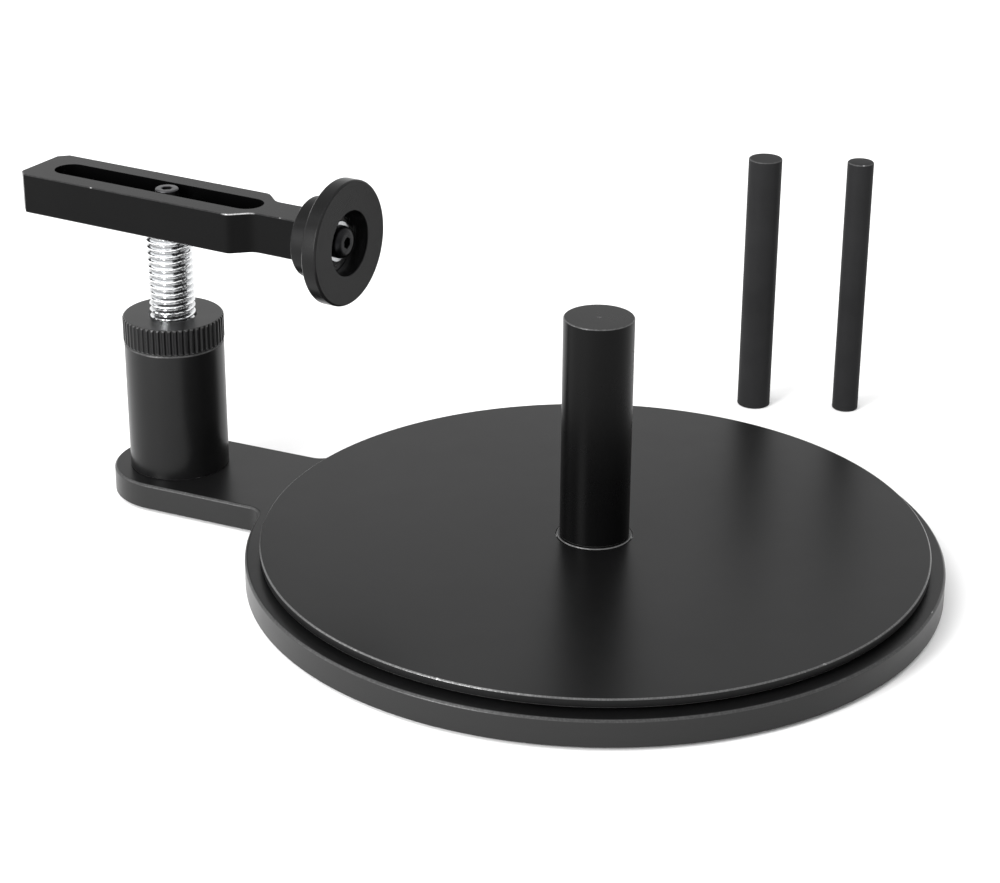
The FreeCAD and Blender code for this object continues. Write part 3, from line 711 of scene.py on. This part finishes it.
def rod(name, node, slot, dimple):
    """A round bar with a tapped lower end and a flat or dimpled top."""
    low, high = place_of(node)
    centre = (low + high) / 2
    radius = (high.x - low.x) / 2
    tall = high.z - low.z
    corners = [(TAP_RADIUS, TAP_DEPTH, 0), (TAP_RADIUS, 0, ROD_EDGE), (radius, 0, ROD_EDGE),
               (radius, tall, ROD_EDGE)]
    if dimple:
        corners.append((DIMPLE_RADIUS, tall, DIMPLE_EDGE))
        corners.append((DIMPLE_RADIUS * 0.2, tall - DIMPLE_DEPTH * 0.8, 0))
        peak = tall - DIMPLE_DEPTH
    else:
        corners.append((radius * 0.2, tall, 0))
        peak = tall
    drill_point = TAP_DEPTH + TAP_RADIUS * 0.6
    solid = Solid()
    solid.turned(broken(corners, closed=False), ROD_STEPS, closed=False,
                 tops=(drill_point, peak))
    solid.done(name, at(centre.x, centre.y, low.z), "stand", node, slot)


def column():
    """The hollow pillar that the stud stands in."""
    low, high = place_of("column")
    radius = (high.x - low.x) / 2
    lathe("pillar", [
        (STUD_BORE, low.z, COLUMN_FOOT_EDGE), (radius, low.z, COLUMN_FOOT_EDGE),
        (radius, high.z, COLUMN_EDGE), (STUD_BORE, high.z, COLUMN_EDGE),
    ], COLUMN_STEPS, COLUMN_AT, "stand", "column", "column_black")


def fluted(full):
    """The lock ring's wall: a radius with a round groove cut in at each step."""
    middle = full + FLUTE_RADIUS - FLUTE_DEPTH

    def reach(angle):
        off = (angle + TURN / FLUTES / 2) % (TURN / FLUTES) - TURN / FLUTES / 2
        side = middle * math.sin(off)
        if abs(side) >= FLUTE_RADIUS:
            return full
        return min(full, middle * math.cos(off) - math.sqrt(FLUTE_RADIUS ** 2 - side ** 2))
    return reach


def lock_ring():
    """The ring on top of the pillar, grooved all round for the fingers."""
    low, high = place_of("lock_ring")
    radius = (high.x - low.x) / 2
    corners = [(STUD_BORE, low.z, RING_EDGE), (radius, low.z, RING_EDGE),
               (radius, high.z, RING_EDGE), (STUD_BORE, high.z, RING_EDGE)]
    wall = fluted(radius)
    rings = []
    for r, z in broken(corners):
        def reach(angle, r=r):
            return min(r, wall(angle))
        rings.append((reach if r > radius - FLUTE_DEPTH else r, z))
    solid = Solid()
    solid.turned(rings, FLUTES * FLUTE_STEPS)
    solid.done("fluted_ring", COLUMN_AT, "lock_ring", "lock_ring", "ring_black")


def thread(angle, z, major, low, high):
    """A right-hand thread's radius: soft flat-topped ridges, run out by a chamfer at both ends."""
    turn = (z / THREAD_PITCH - angle / TURN) % 1.0
    ridge = abs(turn - 0.5) * 2
    rise = min(1.0, max(0.0, (ridge - THREAD_ROOT) / THREAD_FLANK))
    smooth = rise * rise * (3 - 2 * rise)
    rise += (smooth - rise) * THREAD_SOFT
    radius = major - THREAD_DEPTH * (1 - rise)
    run_out = major - STUD_EDGE + min(z - low, high - z)
    return min(radius, run_out)


def stud():
    """The threaded stud, with the tapped hole for the clamp screw in its top."""
    low, high = place_of("threaded_stud")
    major = (high.x - low.x) / 2
    rows = int((high.z - low.z) / THREAD_PITCH * THREAD_ROWS)
    rings = []
    for k in range(rows + 1):
        z = low.z + (high.z - low.z) * k / rows

        def reach(angle, z=z):
            return thread(angle, z, major, low.z, high.z)
        rings.append((reach, z))
    tap = CLAMP_SHANK + FIT
    rings += [(tap, high.z), (tap, high.z - TAP_DEPTH)]
    solid = Solid()
    solid.turned(rings, SCREW_STEPS, closed=False, tops=(low.z, high.z - TAP_DEPTH))
    solid.done("thread", COLUMN_AT, "stud", "threaded_stud", "stud_zinc")


def wheel():
    """The guide wheel: a hub and a flange, hollowed from the front for its bearing."""
    rear = WHEEL_REAR
    step = rear + WHEEL_HUB_LONG
    front = rear + WHEEL_LONG
    web = rear + WHEEL_WEB
    lathe("flanged_wheel", [
        (WHEEL_WEB_HOLE, rear, WHEEL_BORE_EDGE), (WHEEL_HUB, rear, WHEEL_EDGE),
        (WHEEL_HUB, step, 0), (WHEEL_FLANGE, step, WHEEL_EDGE),
        (WHEEL_FLANGE, front, WHEEL_EDGE), (WHEEL_BORE, front, WHEEL_BORE_EDGE),
        (WHEEL_BORE, web, 0), (WHEEL_WEB_HOLE, web, 0),
    ], WHEEL_STEPS, AXLE_AT, "wheel", "guide_wheel", "wheel_black")


def cap_screw():
    """The clamp's cap screw: a round head with a hexagon socket."""
    low, high = place_of("clamp_screw")
    under = high.z - CLAMP_TALL
    floor = high.z - CLAMP_TALL / 2
    rings = broken([(CLAMP_SHANK, low.z, SCREW_EDGE), (CLAMP_SHANK, under, 0),
                    (CLAMP_HEAD, under, HEAD_EDGE), (CLAMP_HEAD, high.z, SCREW_EDGE),
                    (CLAMP_MOUTH, high.z, 0)], closed=False)
    rings += [(hexagon(SOCKET + CLAMP_SOCKET_EDGE), high.z),
              (hexagon(SOCKET), high.z - CLAMP_SOCKET_EDGE),
              (hexagon(SOCKET), floor)]
    solid = Solid()
    solid.turned(rings, SCREW_STEPS, closed=False, tops=(low.z, floor - CLAMP_SOCKET_TIP))
    solid.done("clamp_cap_screw", COLUMN_AT, "stud", "clamp_screw", "clamp_black")


def button_screw():
    """The axle's button-head screw."""
    top = HEAD_TALL
    flat = top - HEAD_DOME
    floor = top * 0.4
    rings = [(AXLE_SHANK - SCREW_EDGE, -AXLE_LONG), (AXLE_SHANK, SCREW_EDGE - AXLE_LONG),
             (AXLE_SHANK, 0), (HEAD_RADIUS - HEAD_EDGE, 0), (HEAD_RADIUS, HEAD_EDGE),
             (HEAD_RADIUS, flat * 0.8)]
    rings += arc(HEAD_RADIUS - HEAD_DOME, flat, HEAD_DOME, 0, 90, 10)
    rings += [(hexagon(SOCKET + SOCKET_EDGE), top), (hexagon(SOCKET), top - SOCKET_EDGE),
              (hexagon(SOCKET), floor)]
    solid = Solid()
    solid.turned([(r, z + HEAD_SEAT) for r, z in rings], SCREW_STEPS, closed=False,
                 tops=(HEAD_SEAT - AXLE_LONG, HEAD_SEAT + floor - AXLE_SOCKET_TIP))
    solid.done("axle_button_screw", AXLE_AT, "arm", "axle_screw", "screw_black")


def sunk_screw(solid, x, y, low, head, shank, long, socket):
    """A countersunk socket screw, head down, added to a solid."""
    since = len(solid.mesh.verts)
    cone = head - shank
    floor = cone * 0.7
    rings = [(hexagon(socket), floor), (hexagon(socket), SOCKET_EDGE),
             (hexagon(socket + SOCKET_EDGE), 0), (head, 0), (head, RIM), (shank, RIM + cone),
             (shank, long - SCREW_EDGE), (shank - SCREW_EDGE, long)]
    solid.turned(rings, HOLE_STEPS, closed=False, tops=(floor + SUNK_SOCKET_TIP, long))
    solid.moved(at(x, y, low), since)


def centre_screw():
    low, high = place_of("spindle_screw")
    solid = Solid()
    sunk_screw(solid, 0, 0, low.z, CENTRE_SCREW_HEAD, CENTRE_SCREW_SHANK, high.z - low.z, SOCKET)
    solid.done("centre_screw", Matrix(), "stand", "spindle_screw", "screw_black")


def pillar_screws():
    low, high = place_of("column_screws")
    solid = Solid()
    for x, y in column_screw_places():
        sunk_screw(solid, x, y, low.z, COLUMN_SCREW_HEAD, COLUMN_SCREW_SHANK, high.z - low.z,
                   COLUMN_SCREW_SOCKET)
    solid.done("pillar_screws", Matrix(), "stand", "column_screws", "screw_black")


def kept_cad():
    """CAD nodes shown as they are, in their slot's finish."""
    slots = {row["node"]: row["material_slot"] for row in frame["record"]["subparts"]}
    for name, node in frame["nodes"].items():
        if not node.hide_render:
            node.data.materials.clear()
            node.data.materials.append(PAINT[slots[name]])


# ---------------------------------------------------------------- studio

def studio_floor():
    solid = Solid()
    half = FLOOR_HALF
    edge = [(-half, -half), (half, -half), (half, half), (-half, half)]
    solid.lid(solid.loop(edge, 0.0))
    data = bpy.data.meshes.new("floor")
    solid.mesh.to_mesh(data)
    solid.mesh.free()
    data.materials.append(pale_floor())
    sheet = bpy.data.objects.new("floor", data)
    bpy.context.scene.collection.objects.link(sheet)


def softbox(name, place, aim, wide, tall, power):
    """A rectangular studio light; places in metres, power in watts."""
    data = bpy.data.lights.new(name, "AREA")
    data.shape = "RECTANGLE"
    data.size = wide
    data.size_y = tall
    data.energy = power
    lamp = bpy.data.objects.new(name, data)
    bpy.context.scene.collection.objects.link(lamp)
    lamp.location = place
    lamp.rotation_euler = (Vector(aim) - Vector(place)).to_track_quat("-Z", "Y").to_euler()


def lights():
    world = bpy.data.worlds.new("studio")
    bpy.context.scene.world = world
    world.use_nodes = True
    glow = world.node_tree.nodes["Background"]
    glow.inputs["Color"].default_value = (1.0, 1.0, 1.0, 1.0)
    glow.inputs["Strength"].default_value = WORLD_GLOW
    softbox("key", (-0.33, -0.61, 0.98), aim=(0, 0, 0), wide=0.6, tall=0.4, power=3.0)
    softbox("front", (-0.5, -1.2, 0.45), aim=(-0.05, 0, 0.04), wide=0.55, tall=0.8, power=30.0)
    softbox("left", (-1.3, -0.5, 0.7), aim=(-0.05, 0, 0.03), wide=0.5, tall=0.9, power=4.0)
    softbox("above", (-0.05, 0.1, 1.6), aim=(-0.05, 0, 0), wide=1.6, tall=1.6, power=2.5)


def camera():
    data = bpy.data.cameras.new("view")
    data.sensor_width = SENSOR
    data.lens = LENS
    data.clip_start = 0.05
    data.clip_end = 50.0
    eye = bpy.data.objects.new("view", data)
    bpy.context.scene.collection.objects.link(eye)
    eye.matrix_world = (Matrix.Translation(EYE)
                        @ Matrix.Rotation(math.radians(EYE_TURN), 4, "Z")
                        @ Matrix.Rotation(math.radians(90 - EYE_DOWN), 4, "X")
                        @ Matrix.Rotation(math.radians(EYE_ROLL), 4, "Z"))
    bpy.context.scene.camera = eye


base()
pads()
disc()
rod("post", "spindle_post", "spindle_black", dimple=True)
rod("rod_medium", "spare_spindle_medium", "spare_black", dimple=False)
rod("rod_small", "spare_spindle_small", "spare_black", dimple=False)
column()
lock_ring()
stud()
wheel()
cap_screw()
button_screw()
centre_screw()
pillar_screws()
kept_cad()
studio_floor()
lights()
camera()
bpy.context.scene.view_settings.view_transform = "Standard"
